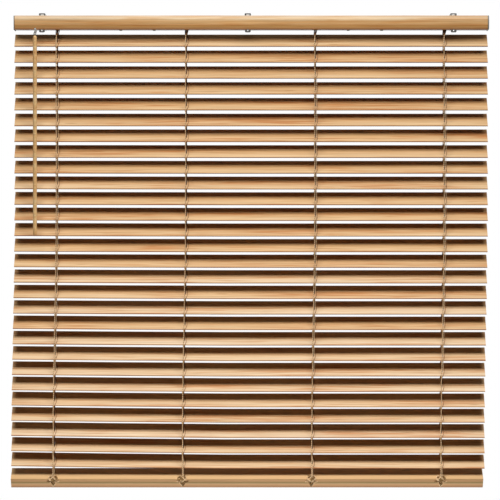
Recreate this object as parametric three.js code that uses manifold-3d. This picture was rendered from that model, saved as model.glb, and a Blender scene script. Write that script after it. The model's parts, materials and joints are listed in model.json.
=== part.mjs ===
// Bamboo venetian blind with a cordless lift: a headrail with a convex bamboo fascia, 28 tilting
// slats on four string ladders, a heavy bottom rail, a worm tilter turned by a hanging wand, and
// three clamp brackets that hold the headrail under a ceiling or against a wall.
//
// Units are millimetres. +Z is up, +X is to the right seen from the room and the room side is -Y.
// The origin is on the ceiling face of the middle bracket. Slats and rail are drawn at their rest
// tilt, with the room-side edge down.

import * as THREE from "three";
import { mergeVertices } from "three/addons/utils/BufferGeometryUtils.js";
import Module from "manifold-3d";

const wasm = await Module();
wasm.setup();

const degrees = Math.PI / 180;
const clearance = 0.3; // between pieces that seat on each other

// Headrail
const headrailLength = 950;
const headrailShift = 6.8; // from the middle bracket to the middle of the headrail
const channelFront = -16;
const channelBack = 14;
const channelTop = -6;
const channelBottom = -31.5;
const channelWall = 1;
const lipWidth = 2.5;
const endCapThickness = 2;
const endCapPlug = 8;

// Fascia
const fasciaTop = -4.4;
const fasciaBottom = -32.6;
const fasciaEdge = 3; // thickness at the top and bottom edges
const fasciaBulge = 4; // how far the front swells out between them

// Slats and their ladders
const slatCount = 28;
const slatLength = headrailLength - 3;
const slatWidth = 35;
const slatThickness = 2.2;
const slatEasing = 0.5;
const restTilt = 43.5 * degrees;
const curtainY = 2.5; // the plane that holds the slat axes and the tilt rod
const firstSlatDrop = 53.6;
const topPitch = 31.8;
const bottomPitch = 30.5; // the load stretches the upper rungs further apart
const ladderInset = 85.5; // from a slat's end to its first ladder
const outerLadder = slatLength / 2 - ladderInset;
const ladderOffsets = [-outerLadder, -outerLadder / 3, outerLadder / 3, outerLadder];
const ladderReach = 20; // from a slat's axis to each string
const stringDiameter = 1.5;
const rungThickness = 1;
const cordDiameter = 1.2;
const cordOffset = 2.6; // the lift cord passes beside the ladder string
const slotLength = 16;
const slotWidth = 4.4;

// Bottom rail
const railLength = headrailLength - 4.5;
const railWidth = 36;
const railThickness = 22;
const railRounding = 2;
const railTilt = 35 * degrees;
const railDrop = 26.4; // from the last slat's axis to the line that the rail hangs on
const railHole = 5;

// Tilt rod and drums
const rodZ = -16.5;
const rodFlats = 6;
const rodPastTilter = 10;
const rodPastLadder = 12;
const drumRadius = 8.74;
const drumFlange = 9.6;
const drumWidth = 8;
const drumFlangeWidth = 1.2;
const stringLeave = 35 * degrees; // below level, where a string leaves its drum
const cradleWall = 1.2;
const cradleTop = -12.5;

// Worm tilter
const tilterInset = 43.2; // from the headrail's end to the wand
const tilterOffset = tilterInset - headrailLength / 2;
const gearModule = 1;
const wheelTeeth = 16;
const wheelWidth = 7;
const wormPitchRadius = 3;
const toothAddendum = 0.75;
const toothDedendum = 1.1;
const crestShare = 0.18; // width of a crest as a share of the pitch
const footShare = 0.6; // and of its foot, which leaves backlash on both flanks
const wormHand = 1; // 1 for a right-hand thread
const wormSlope = 30 * degrees; // from upright, leaning into the room
const wormAbove = 4;
const wormBelow = 5;
const stemRadius = 1.8;
const housingWidth = 16;

// Wand and its link
const linkJointZ = -37; // where the worm's axis meets the wand's
const linkWire = 0.7;
const linkRadius = 2.2;
const linkHeight = 6.3;
const wandEyeRadius = 1.9;
const wandDiameter = 7.6;
const wandLength = 398;
const wandEyeShank = 9;

// Brackets
const bracketInset = 64; // from the headrail's end to an outer bracket
const bracketPitch = headrailLength / 2 - bracketInset;
const bracketWidth = 12.3;
const bracketSheet = 1.2;
const bracketArch = 4;
const bracketFront = -19;
const armSheet = 0.9;
const tongueWidth = 7;
const leverSheet = 1.1;
const leverPivotY = -9;
const leverFront = -21.6;
const leverTab = 5.4;
const rivetRadius = 2;
const tabHole = 1.3;
const screwRadius = 2.1;

// Spring motors of the cordless lift
const motorOffset = 0.24 * headrailLength;
const motorLength = 86;
const motorTop = -8.5;
const motorFootSpan = 67;
const motorFootLength = 5.6;
const motorFootDepth = 8;
const motorFootDrop = 1.8;

const materials = {
  slat: new THREE.MeshStandardMaterial({ color: 0xe8c28d, roughness: 0.45, metalness: 0 }),
  fascia: new THREE.MeshStandardMaterial({ color: 0xcf9f63, roughness: 0.35, metalness: 0 }),
  rail: new THREE.MeshStandardMaterial({ color: 0xd9a873, roughness: 0.45, metalness: 0 }),
  wand: new THREE.MeshStandardMaterial({ color: 0xcf9a63, roughness: 0.5, metalness: 0 }),
  cord: new THREE.MeshStandardMaterial({ color: 0xc9a57e, roughness: 0.9, metalness: 0 }),
  liftCord: new THREE.MeshStandardMaterial({ color: 0x8e7356, roughness: 0.9, metalness: 0 }),
  steel: new THREE.MeshStandardMaterial({ color: 0x8d8f92, roughness: 0.4, metalness: 0.9 }),
  darkSteel: new THREE.MeshStandardMaterial({ color: 0x3a3a3a, roughness: 0.5, metalness: 0.6 }),
  plastic: new THREE.MeshStandardMaterial({ color: 0x9a9a98, roughness: 0.5, metalness: 0 }),
  whitePlastic: new THREE.MeshStandardMaterial({ color: 0xe6e4de, roughness: 0.5, metalness: 0 }),
};

// ---- Solids ----

// A closed geometry as a manifold-3d solid.
function solid(geometry) {
  const bare = geometry.clone();
  bare.deleteAttribute("normal");
  bare.deleteAttribute("uv");
  const merged = mergeVertices(bare, 1e-4);
  return new wasm.Manifold(
    new wasm.Mesh({
      numProp: 3,
      vertProperties: new Float32Array(merged.attributes.position.array),
      triVerts: new Uint32Array(merged.index.array),
    }),
  );
}

// A manifold-3d solid as a geometry with flat faces.
function geometryOf(body) {
  const mesh = body.getMesh();
  const geometry = new THREE.BufferGeometry();
  geometry.setAttribute("position", new THREE.BufferAttribute(mesh.vertProperties, 3));
  geometry.setIndex(new THREE.BufferAttribute(mesh.triVerts, 1));
  const flat = geometry.toNonIndexed();
  flat.computeVertexNormals();
  return flat;
}

// The first geometry with others added to it and more cut out of it.
function combine(first, added, cut = []) {
  let body = solid(first);
  for (const piece of added) body = body.add(solid(piece));
  for (const piece of cut) body = body.subtract(solid(piece));
  return geometryOf(body);
}

// ---- Forms ----

// A box between two corners.
function block(low, high) {
  const size = high.map((value, axis) => value - low[axis]);
  const middle = high.map((value, axis) => (value + low[axis]) / 2);
  return new THREE.BoxGeometry(...size).translate(...middle);
}

// A [y, z] outline carried along X, with x = 0 at the middle of its length.
function alongX(outline, length) {
  const shape = new THREE.Shape(outline.map(([y, z]) => new THREE.Vector2(y, z)));
  const geometry = new THREE.ExtrudeGeometry(shape, { depth: length, bevelEnabled: false });
  // the shape's own x and y become Y and Z, and its depth becomes X
  return geometry
    .translate(0, 0, -length / 2)
    .applyMatrix4(new THREE.Matrix4().set(0, 0, 1, 0, 1, 0, 0, 0, 0, 1, 0, 0, 0, 0, 0, 1));
}

// An [x, y] outline carried up from z = 0.
function upward(outline, height) {
  const shape = new THREE.Shape(outline.map(([x, y]) => new THREE.Vector2(x, y)));
  return new THREE.ExtrudeGeometry(shape, { depth: height, bevelEnabled: false });
}

// Points of an arc about [a, b], in order of angle.
function arc(a, b, radius, from, to, steps) {
  return Array.from({ length: steps + 1 }, (_, i) => {
    const angle = from + ((to - from) * i) / steps;
    return [a + radius * Math.cos(angle), b + radius * Math.sin(angle)];
  });
}

// A rectangle with round corners, centred on [a, b].
function roundedRectangle(width, height, radius, steps, a = 0, b = 0) {
  const x = width / 2 - radius;
  const y = height / 2 - radius;
  return [
    ...arc(a + x, b + y, radius, 0, Math.PI / 2, steps),
    ...arc(a - x, b + y, radius, Math.PI / 2, Math.PI, steps),
    ...arc(a - x, b - y, radius, Math.PI, 1.5 * Math.PI, steps),
    ...arc(a + x, b - y, radius, 1.5 * Math.PI, 2 * Math.PI, steps),
  ];
}

// A slot with round ends whose long side is `length`, along the second axis.
function slotOutline(length, width, steps = 2) {
  const end = (length - width) / 2;
  return [
    ...arc(0, end, width / 2, 0, Math.PI, steps),
    ...arc(0, -end, width / 2, Math.PI, 2 * Math.PI, steps),
  ];
}

// A cylinder about X, or about Y or Z when it is named.
function cylinder(radius, length, axis = "x", sides = 16) {
  const geometry = new THREE.CylinderGeometry(radius, radius, length, sides);
  if (axis === "x") geometry.rotateZ(-Math.PI / 2);
  if (axis === "z") geometry.rotateX(Math.PI / 2);
  return geometry;
}

// A taut cord through a list of [x, y, z] points: a straight tube for each stretch, joined.
function cordThrough(points, diameter) {
  const section = new THREE.Shape(
    arc(0, 0, diameter / 2, 0, 2 * Math.PI, 8)
      .slice(0, -1)
      .map(([x, y]) => new THREE.Vector2(x, y)),
  );
  const corners = points.map((point) => new THREE.Vector3(...point));
  const stretches = corners.slice(1).map((end, i) => {
    const start = corners[i];
    const overlap = end.clone().sub(start).setLength(diameter / 8);
    const from = i > 0 ? start.clone().sub(overlap) : start;
    const to = i + 2 < corners.length ? end.clone().add(overlap) : end;
    return new THREE.ExtrudeGeometry(section, {
      steps: 1,
      extrudePath: new THREE.LineCurve3(from, to),
    });
  });
  return combine(stretches[0], stretches.slice(1));
}

// A wire bent into a closed oval: straight sides `height` apart in Z, in the XZ plane.
function ovalRing(radius, height, wire) {
  const centres = [
    ...arc(0, height / 2, radius, 0, Math.PI, 8),
    ...arc(0, -height / 2, radius, Math.PI, 2 * Math.PI, 8),
  ].filter(([x, z], i, all) => {
    const [px, pz] = all[(i + all.length - 1) % all.length];
    return Math.hypot(x - px, z - pz) > 1e-6;
  });
  const sides = 8;
  const positions = [];
  const faces = [];
  centres.forEach(([x, z], i) => {
    const [bx, bz] = centres[(i + centres.length - 1) % centres.length];
    const [nx, nz] = centres[(i + 1) % centres.length];
    const outward = new THREE.Vector2(nz - bz, bx - nx).normalize();
    for (let k = 0; k < sides; k++) {
      const angle = (2 * Math.PI * k) / sides;
      const out = wire * Math.cos(angle);
      positions.push(x + outward.x * out, wire * Math.sin(angle), z + outward.y * out);
      const here = i * sides;
      const next = ((i + 1) % centres.length) * sides;
      const k2 = (k + 1) % sides;
      faces.push(here + k, here + k2, next + k, here + k2, next + k2, next + k);
    }
  });
  const geometry = new THREE.BufferGeometry();
  geometry.setAttribute("position", new THREE.Float32BufferAttribute(positions, 3));
  geometry.setIndex(faces);
  return geometry;
}

// ---- Places worked out from the sizes ----

const pitchAfter = (i) => topPitch + ((bottomPitch - topPitch) * i) / (slatCount - 2);

const slatHeights = [-firstSlatDrop];
for (let i = 0; i < slatCount - 1; i++) slatHeights.push(slatHeights[i] - pitchAfter(i));

const railAxisZ = slatHeights[slatCount - 1] - railDrop;
const innerLength = headrailLength - 2 * (endCapThickness + clearance);
const channelMiddle = (channelBack + channelFront) / 2;
const channelFloor = channelBottom + channelWall;
const fasciaBack = channelFront - clearance;

// The worm's axis in the YZ plane: `down` is its direction, `mesh` its point nearest the rod.
const wheelRadius = (gearModule * wheelTeeth) / 2;
const gearPitch = Math.PI * gearModule;
const down = { y: -Math.sin(wormSlope), z: -Math.cos(wormSlope) };
const mesh = {
  y: curtainY - (wheelRadius + wormPitchRadius) * Math.cos(wormSlope),
  z: rodZ + (wheelRadius + wormPitchRadius) * Math.sin(wormSlope),
};
const stemLength = (mesh.z - linkJointZ) / Math.cos(wormSlope);
const wandY = mesh.y + stemLength * down.y;

// Turns a geometry made about Z, with its lower end down, onto the worm's axis.
function ontoWormAxis(geometry) {
  return geometry.rotateX(-wormSlope).translate(0, mesh.y, mesh.z);
}

// ---- Pieces ----

function slat() {
  const half = slatWidth / 2;
  const top = slatThickness / 2;
  const blank = alongX(
    [
      [-half + slatEasing, -top],
      [half - slatEasing, -top],
      [half, -top + slatEasing],
      [half, top - slatEasing],
      [half - slatEasing, top],
      [-half + slatEasing, top],
      [-half, top - slatEasing],
      [-half, -top + slatEasing],
    ],
    slatLength,
  );
  // each rung lies under the slat and reaches from one ladder string to the other
  const inner = ladderReach * Math.cos(restTilt) - stringDiameter / 2 - clearance;
  const front = (inner + top * Math.sin(restTilt)) / Math.cos(restTilt);
  const rear = (inner - (top + rungThickness) * Math.sin(restTilt)) / Math.cos(restTilt);
  const rungs = ladderOffsets.map((x) =>
    block(
      [x - rungThickness / 2, -front, -top - rungThickness],
      [x + rungThickness / 2, rear, -top + slatEasing / 5],
    ),
  );
  const slots = ladderOffsets.map((x) =>
    upward(slotOutline(slotLength, slotWidth), 2 * slatThickness).translate(
      x + cordOffset,
      0,
      -slatThickness,
    ),
  );
  return combine(blank, rungs, slots);
}

function bottomRail() {
  const blank = alongX(
    roundedRectangle(railWidth, railThickness, railRounding, 3, 0, -railThickness / 2),
    railLength,
  );
  const holes = ladderOffsets.map((x) =>
    cylinder(railHole / 2, railThickness * 2, "z", 12).translate(x + cordOffset, 0, 0),
  );
  return combine(blank, [], holes);
}

// The two strings of a ladder run from the drum, out through the headrail's slot, and straight
// down past every slat to the rail. side is -1 for the room side and 1 for the window side.
function ladderString(x, side) {
  const onDrum = drumRadius + stringDiameter / 2 + clearance;
  const slotY = curtainY + side * onDrum * Math.cos(stringLeave);
  const y = curtainY + side * ladderReach * Math.cos(restTilt);
  const rise = ladderReach * Math.sin(restTilt);
  const bend = slatHeights[0] + (side < 0 ? 0 : rise);
  const edge = railAxisZ + side * (railWidth / 2) * Math.sin(railTilt);
  return cordThrough(
    [
      [x, slotY, rodZ - onDrum * Math.sin(stringLeave)],
      [x, slotY, channelBottom - 1],
      [x, y, bend],
      [x, y, edge + stringDiameter * (side < 0 ? 0.8 : 1.6)],
    ],
    stringDiameter,
  );
}

// The lift cord runs through every slat's slot and ends inside the rail's hole.
function liftCord(x) {
  return cordThrough(
    [
      [x + cordOffset, curtainY, rodZ - drumFlange - 1],
      [x + cordOffset, curtainY, railAxisZ - railHole / 2],
    ],
    cordDiameter,
  );
}

function headrailChannel() {
  const wall = channelWall;
  const profile = [
    [channelFront, channelBottom],
    [channelBack, channelBottom],
    [channelBack, channelTop],
    [channelBack - lipWidth, channelTop],
    [channelBack - lipWidth, channelTop - wall],
    [channelBack - wall, channelTop - wall],
    [channelBack - wall, channelFloor],
    [channelFront + wall, channelFloor],
    [channelFront + wall, channelTop - wall],
    [channelFront + lipWidth, channelTop - wall],
    [channelFront + lipWidth, channelTop],
    [channelFront, channelTop],
  ];
  const cradleOutline = [
    [channelFront + wall / 2, channelBottom + wall / 2],
    [channelBack - wall / 2, channelBottom + wall / 2],
    [channelBack - wall / 2, cradleTop],
    ...arc(curtainY, rodZ, rodFlats / 2 + 1, 0.3 * Math.PI, -1.3 * Math.PI, 8),
    [channelFront + wall / 2, cradleTop],
  ];
  const cradles = ladderOffsets.flatMap((x) =>
    [-1, 1].map((side) =>
      alongX(cradleOutline, cradleWall).translate(x + side * (drumWidth / 2 + 1 + cradleWall), 0, 0),
    ),
  );
  const stringSlots = ladderOffsets.map((x) =>
    block(
      [x - drumWidth / 2, curtainY - drumFlange - 3, channelBottom - 1],
      [x + drumWidth / 2, channelBack - 2 * wall, channelFloor + clearance / 2],
    ),
  );
  const footHoles = [-1, 1].flatMap((motor) =>
    [-1, 1].map((foot) => {
      const x = motor * motorOffset + (foot * motorFootSpan) / 2;
      const reachX = motorFootLength / 2 + clearance;
      const reachY = motorFootDepth / 2 + clearance;
      return block(
        [x - reachX, channelMiddle - reachY, channelBottom - 1],
        [x + reachX, channelMiddle + reachY, channelFloor + 1],
      );
    }),
  );
  return combine(
    alongX(profile, innerLength),
    cradles,
    [...stringSlots, ...footHoles, wormClearance(stemRadius + 0.8)],
  );
}

// The room that the worm's stem takes up where it leaves the headrail.
function wormClearance(radius) {
  const length = stemLength + linkRadius - wormBelow - 2;
  return ontoWormAxis(
    cylinder(radius, length, "z", 12).translate(0, 0, -wormBelow - 2 - length / 2),
  ).translate(tilterOffset, 0, 0);
}

// A convex bar: flat where it meets the channel, and swelling out between its two edges.
function fasciaOutline() {
  const half = (fasciaTop - fasciaBottom) / 2;
  const middle = (fasciaTop + fasciaBottom) / 2;
  const radius = (half * half + fasciaBulge * fasciaBulge) / (2 * fasciaBulge);
  const spread = Math.asin(half / radius);
  const front = fasciaBack - fasciaEdge;
  return [
    [fasciaBack, fasciaBottom],
    [fasciaBack, fasciaTop],
    ...arc(front + radius - fasciaBulge, middle, radius, Math.PI - spread, Math.PI + spread, 12),
  ];
}

function fascia() {
  return combine(alongX(fasciaOutline(), innerLength), [], [wormClearance(stemRadius + 0.6)]);
}

function endCap(side) {
  const [back, top, ...front] = fasciaOutline();
  const outline = [[channelBack, back[1]], [channelBack, top[1]], ...front];
  const gap = channelWall + clearance;
  const plug = block(
    [-endCapThickness / 2 - endCapPlug, channelFront + gap, channelFloor + clearance],
    [0, channelBack - gap, channelTop - channelWall - clearance],
  );
  const cap = combine(alongX(outline, endCapThickness), [plug]);
  if (side < 0) cap.rotateZ(Math.PI).translate(0, 2 * channelMiddle, 0);
  return cap;
}

function tiltRod() {
  const hexagon = arc(0, 0, rodFlats / Math.sqrt(3), 0, 2 * Math.PI, 6).slice(0, -1);
  const left = tilterOffset - rodPastTilter;
  const right = ladderOffsets[ladderOffsets.length - 1] + rodPastLadder;
  const rod = alongX(hexagon, right - left).translate((left + right) / 2, 0, 0);
  const inner = drumWidth / 2 - drumFlangeWidth;
  const outer = drumWidth / 2;
  const drum = new THREE.LatheGeometry(
    [
      [0, -outer],
      [drumFlange, -outer],
      [drumFlange, -inner],
      [drumRadius, -inner],
      [drumRadius, inner],
      [drumFlange, inner],
      [drumFlange, outer],
      [0, outer],
    ].map(([r, h]) => new THREE.Vector2(r, h)),
    16,
  ).rotateZ(-Math.PI / 2);
  return combine(
    rod,
    ladderOffsets.map((x) => drum.clone().translate(x, 0, 0)),
  );
}

// Teeth at the pitch of the worm's thread. The wheel's blank is twisted by the thread's lead, so
// that a tooth lies along the thread that drives it.
function wormWheel() {
  const root = wheelRadius - toothDedendum;
  const tip = wheelRadius + toothAddendum;
  const step = (2 * Math.PI) / wheelTeeth;
  const outline = [];
  for (let i = 0; i < wheelTeeth; i++) {
    const centre = i * step;
    const shares = [
      [root, -footShare / 2],
      [tip, -crestShare / 2],
      [tip, crestShare / 2],
      [root, footShare / 2],
    ];
    for (const [radius, share] of shares) {
      const angle = centre + share * step;
      outline.push([radius * Math.cos(angle), radius * Math.sin(angle)]);
    }
  }
  const bore = arc(0, 0, (rodFlats + 2 * clearance) / Math.sqrt(3), 0, 2 * Math.PI, 6).slice(0, -1);
  const shape = new THREE.Shape(outline.map(([y, z]) => new THREE.Vector2(y, z)));
  shape.holes = [new THREE.Path(bore.reverse().map(([y, z]) => new THREE.Vector2(y, z)))];
  const wheel = new THREE.ExtrudeGeometry(shape, { depth: wheelWidth, steps: 4, bevelEnabled: false });
  wheel.translate(0, 0, -wheelWidth / 2);
  const lead = gearPitch / (2 * Math.PI * wormPitchRadius);
  const place = wheel.attributes.position;
  for (let i = 0; i < place.count; i++) {
    const radius = Math.hypot(place.getX(i), place.getY(i));
    if (radius < root - 0.5) continue; // the bore stays straight
    const angle =
      Math.atan2(place.getY(i), place.getX(i)) + (wormHand * lead * place.getZ(i)) / wheelRadius;
    place.setXY(i, radius * Math.cos(angle), radius * Math.sin(angle));
  }
  return wheel.applyMatrix4(
    new THREE.Matrix4().set(0, 0, 1, 0, 1, 0, 0, 0, 0, 1, 0, 0, 0, 0, 0, 1),
  );
}

// The thread is a ridge that climbs one pitch a turn, drawn as one skin from end to end.
function wormThread() {
  const around = 14;
  const perPitch = 9;
  const length = wormAbove + wormBelow;
  const rows = Math.ceil((length / gearPitch) * perPitch);
  const root = wormPitchRadius - toothDedendum;
  const tip = wormPitchRadius + toothAddendum;
  const meshAngle = Math.PI - wormSlope; // of the worm, seen from the wheel's axis
  const grooveMeetsTooth = 0.5 + wormHand / 4 - (meshAngle * wheelTeeth) / (2 * Math.PI);
  const positions = [0, 0, -wormBelow, 0, 0, wormAbove];
  const faces = [];
  for (let row = 0; row <= rows; row++) {
    const height = -wormBelow + (length * row) / rows;
    const ends = Math.min(row, rows - row) / perPitch; // the ridge fades out at both ends
    for (let k = 0; k < around; k++) {
      const angle = (2 * Math.PI * k) / around;
      const turn = height / gearPitch - (wormHand * angle) / (2 * Math.PI) + grooveMeetsTooth;
      const phase = 2 * Math.abs(turn - Math.round(turn)); // 0 on the crest
      const share = THREE.MathUtils.clamp((footShare - phase) / (footShare - crestShare), 0, 1);
      const radius = root + (tip - root) * Math.min(share, 4 * ends);
      positions.push(radius * Math.cos(angle), radius * Math.sin(angle), height);
      const next = (k + 1) % around;
      const here = 2 + row * around;
      if (row < rows) {
        faces.push(here + k, here + next, here + around + next);
        faces.push(here + k, here + around + next, here + around + k);
      }
    }
  }
  const last = 2 + rows * around;
  for (let k = 0; k < around; k++) {
    const next = (k + 1) % around;
    faces.push(0, 2 + next, 2 + k, 1, last + k, last + next);
  }
  const geometry = new THREE.BufferGeometry();
  geometry.setAttribute("position", new THREE.Float32BufferAttribute(positions, 3));
  geometry.setIndex(faces);
  return geometry;
}

// The worm, its stem and the eye that the link hangs in. The eye lies half a ring above the point
// where the two axes meet, and the link half a ring below it, so both clear at every turn.
function wormShaft() {
  const eyeCentre = -stemLength + linkRadius / 2;
  const stemTop = wormAbove + 1.5;
  const stemBottom = eyeCentre + linkRadius - linkWire / 3;
  const stem = cylinder(stemRadius - 0.2, stemTop - stemBottom, "z", 12);
  const eye = ovalRing(linkRadius, 0, linkWire)
    .rotateZ(Math.PI / 2)
    .translate(0, 0, eyeCentre);
  return ontoWormAxis(
    combine(stem.translate(0, 0, (stemTop + stemBottom) / 2), [wormThread(), eye]),
  );
}

function tilterHousing() {
  const halfWidth = housingWidth / 2;
  const gap = channelWall + clearance;
  const blank = block(
    [-halfWidth, channelFront + gap, channelFloor + clearance],
    [halfWidth, channelBack - gap, channelTop - channelWall - clearance],
  );
  const pocket = wheelWidth / 2 + 0.5;
  const wheelRoom = wheelRadius + toothAddendum + 0.6;
  const wormRoom = wormPitchRadius + toothAddendum + 0.5;
  const wormLength = wormAbove + wormBelow + 8;
  const stemHole = cylinder(stemRadius + 0.2, stemLength, "z", 12).translate(0, 0, -stemLength / 2);
  const cuts = [
    cylinder(wheelRoom, 2 * pocket, "x", 24).translate(0, curtainY, rodZ),
    block([-pocket, curtainY - wheelRoom, rodZ], [pocket, curtainY + wheelRoom, 0]),
    cylinder(rodFlats / Math.sqrt(3) + 0.4, housingWidth + 2, "x", 16).translate(0, curtainY, rodZ),
    block(
      [-halfWidth - 1, curtainY - rodFlats / 2 - 0.8, rodZ],
      [halfWidth + 1, curtainY + rodFlats / 2 + 0.8, 0],
    ),
    ontoWormAxis(
      cylinder(wormRoom, wormLength, "z", 16).translate(0, 0, wormLength / 2 - wormBelow - 0.5),
    ),
    ontoWormAxis(stemHole),
  ];
  return combine(blank, [], cuts);
}

// The link that joins the worm's eye to the wand's eye.
function wandLink() {
  return ovalRing(linkRadius, linkHeight - 2 * linkRadius, linkWire);
}

// A screw eye: a ring on a shank that is driven into the top of the wand.
function wandEye() {
  const ring = ovalRing(wandEyeRadius, 0, linkWire).rotateZ(Math.PI / 2);
  const shankTop = -wandEyeRadius + linkWire / 3;
  const shankLength = wandEyeShank;
  const shank = cylinder(1, shankLength, "z", 10).translate(0, 0, shankTop - shankLength / 2);
  return combine(ring, [shank]);
}

// A turned stick with a bore for the screw eye, a rounded shoulder and a rounded foot.
function wand() {
  const radius = wandDiameter / 2;
  const bore = 1 + clearance;
  const depth = wandEyeShank;
  const profile = [
    [0, -depth],
    [bore, -depth],
    [bore, 0],
    [radius - 1.2, 0],
    [radius - 0.35, -0.5],
    [radius, -1.4],
    [radius, -wandLength + 2],
    [radius - 0.6, -wandLength + 0.6],
    [radius - 1.8, -wandLength],
    [0, -wandLength],
  ].map(([r, h]) => new THREE.Vector2(r, h));
  return new THREE.LatheGeometry(profile.reverse(), 16).rotateX(Math.PI / 2);
}

// A sheet-steel clamp: an arched strap over the headrail, a leg down its back, an arm under it,
// and a tongue that hooks the channel's front lip.
function bracket() {
  const half = bracketWidth / 2;
  const back = channelBack + clearance + bracketSheet;
  const strap = [
    ...arc(half - 1, -1, 1, 0, Math.PI / 2, 3),
    ...arc(-half + 1, -1, 1, Math.PI / 2, Math.PI, 3),
    [-half, -bracketArch],
    [-half + bracketSheet, -bracketArch],
    [-half + bracketSheet, -bracketSheet],
    [half - bracketSheet, -bracketSheet],
    [half - bracketSheet, -bracketArch],
    [half, -bracketArch],
  ];
  const armTop = channelBottom - clearance;
  const arch = new THREE.ExtrudeGeometry(
    new THREE.Shape(strap.map(([x, z]) => new THREE.Vector2(x, z))),
    { depth: back - bracketFront, bevelEnabled: false },
  )
    .rotateX(Math.PI / 2)
    .translate(0, back, 0);
  const leg = block([-half, back - bracketSheet, armTop - armSheet], [half, back, -bracketSheet / 2]);
  const arm = upward(
    [
      [half, back],
      [-half, back],
      ...arc(0, leverPivotY, half, Math.PI, 2 * Math.PI, 10),
    ],
    armSheet,
  ).translate(0, 0, armTop - armSheet);
  const lipEnd = channelFront + lipWidth + clearance;
  const hookTop = channelTop - channelWall - clearance;
  const tongue = block(
    [-tongueWidth / 2, lipEnd, hookTop - bracketSheet],
    [tongueWidth / 2, lipEnd + bracketSheet, -bracketSheet / 2],
  );
  const hook = block(
    [-tongueWidth / 2, channelFront + channelWall + clearance, hookTop - bracketSheet],
    [tongueWidth / 2, lipEnd + bracketSheet, hookTop],
  );
  const ceilingHoles = [-1, 1].map((side) =>
    cylinder(screwRadius, 8, "z", 12).translate(0, side * 8.5, 0),
  );
  const wallHole = cylinder(screwRadius, 8, "y", 12).translate(0, back, channelBottom / 3);
  const rivetHole = cylinder(rivetRadius + clearance, 8, "z", 12).translate(0, leverPivotY, armTop);
  return combine(arch, [leg, arm, tongue, hook], [...ceilingHoles, wallHole, rivetHole]);
}

// The locking lever turns on a rivet in the bracket's arm. Its plate closes the clamp's front
// under the fascia, and its tab is what a finger pushes.
function bracketLever() {
  const half = bracketWidth / 2 - clearance;
  const top = -armSheet - clearance;
  const plate = upward(
    [
      ...arc(0, 0, half, 0, Math.PI, 8),
      [-half, leverFront - leverPivotY],
      [half, leverFront - leverPivotY],
    ],
    leverSheet,
  ).translate(0, 0, top - leverSheet);
  const tab = new THREE.ExtrudeGeometry(
    new THREE.Shape(
      [
        [half, leverTab],
        [-half, leverTab],
        ...arc(-half + 2.5, 2.5, 2.5, Math.PI, 1.5 * Math.PI, 4),
        ...arc(half - 2.5, 2.5, 2.5, 1.5 * Math.PI, 2 * Math.PI, 4),
      ].map(([x, z]) => new THREE.Vector2(x, z)),
    ),
    { depth: leverSheet, bevelEnabled: false },
  )
    .rotateX(Math.PI / 2)
    .translate(0, leverFront - leverPivotY + leverSheet, top - leverTab);
  const hole = cylinder(tabHole, 4 * leverSheet, "y", 12).translate(
    0,
    leverFront - leverPivotY,
    top - leverSheet - (leverTab - leverSheet) / 2,
  );
  const rivet = cylinder(rivetRadius, armSheet + leverSheet + clearance / 2, "z", 12);
  const seat = top - leverSheet / 2 + (armSheet + clearance) / 2 - clearance / 2;
  return combine(plate, [tab, rivet.translate(0, 0, seat)], [hole]);
}

// A sealed spring motor: a moulded case with a trough for the tilt rod over it, and two feet
// that snap through the channel's floor.
function springMotor() {
  const gap = channelWall + clearance;
  const low = channelFloor + clearance;
  const casing = upward(
    roundedRectangle(motorLength, channelBack - channelFront - 2 * gap, 4, 4, 0, channelMiddle),
    motorTop - low,
  ).translate(0, 0, low);
  const trough = block(
    [-motorLength, curtainY - rodFlats / 2 - 1.5, rodZ - rodFlats / 2 - 1.5],
    [motorLength, curtainY + rodFlats / 2 + 1.5, 0],
  );
  const feet = [-1, 1].map((side) => {
    const x = (side * motorFootSpan) / 2;
    return block(
      [x - motorFootLength / 2, channelMiddle - motorFootDepth / 2, channelBottom - motorFootDrop],
      [x + motorFootLength / 2, channelMiddle + motorFootDepth / 2, low + 1],
    );
  });
  return combine(casing, feet, [trough]);
}

// ---- Assembly ----

const root = new THREE.Group();
const blind = new THREE.Group(); // everything that is centred on the headrail
blind.position.x = headrailShift;
root.add(blind);

function place(name, geometry, material, x = 0, y = 0, z = 0, parent = blind) {
  const piece = new THREE.Mesh(geometry, material);
  piece.name = name;
  piece.position.set(x, y, z);
  parent.add(piece);
  return piece;
}

const twoDigits = (number) => String(number).padStart(2, "0");

place("headrail_channel", headrailChannel(), materials.steel);
place("fascia", fascia(), materials.fascia);
const capPlace = (headrailLength - endCapThickness) / 2;
place("end_cap_left", endCap(-1), materials.plastic, -capPlace);
place("end_cap_right", endCap(1), materials.plastic, capPlace);

const slatGeometry = slat();
slatHeights.forEach((z, i) => {
  const name = "slat_" + twoDigits(i + 1);
  place(name, slatGeometry, materials.slat, 0, curtainY, z).rotation.x = restTilt;
});
place("bottom_rail", bottomRail(), materials.rail, 0, curtainY, railAxisZ).rotation.x = railTilt;

ladderOffsets.forEach((x, i) => {
  place("ladder_front_" + (i + 1), ladderString(x, -1), materials.cord);
  place("ladder_rear_" + (i + 1), ladderString(x, 1), materials.cord);
  place("lift_cord_" + (i + 1), liftCord(x), materials.liftCord);
});

place("tilt_rod", tiltRod(), materials.steel, 0, curtainY, rodZ);
place("worm_wheel", wormWheel(), materials.whitePlastic, tilterOffset, curtainY, rodZ);
place("worm_shaft", wormShaft(), materials.whitePlastic, tilterOffset);
place("tilter_housing", tilterHousing(), materials.whitePlastic, tilterOffset);

const linkTop = linkJointZ + linkRadius / 2;
const wandHinge = linkTop - linkHeight;
const wandTop = wandHinge - wandEyeRadius - linkWire - clearance;
place("wand_link", wandLink(), materials.plastic, tilterOffset, wandY, linkTop - linkHeight / 2);
place("wand_eye", wandEye(), materials.steel, tilterOffset, wandY, wandHinge);
place("wand", wand(), materials.wand, tilterOffset, wandY, wandTop);

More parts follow.
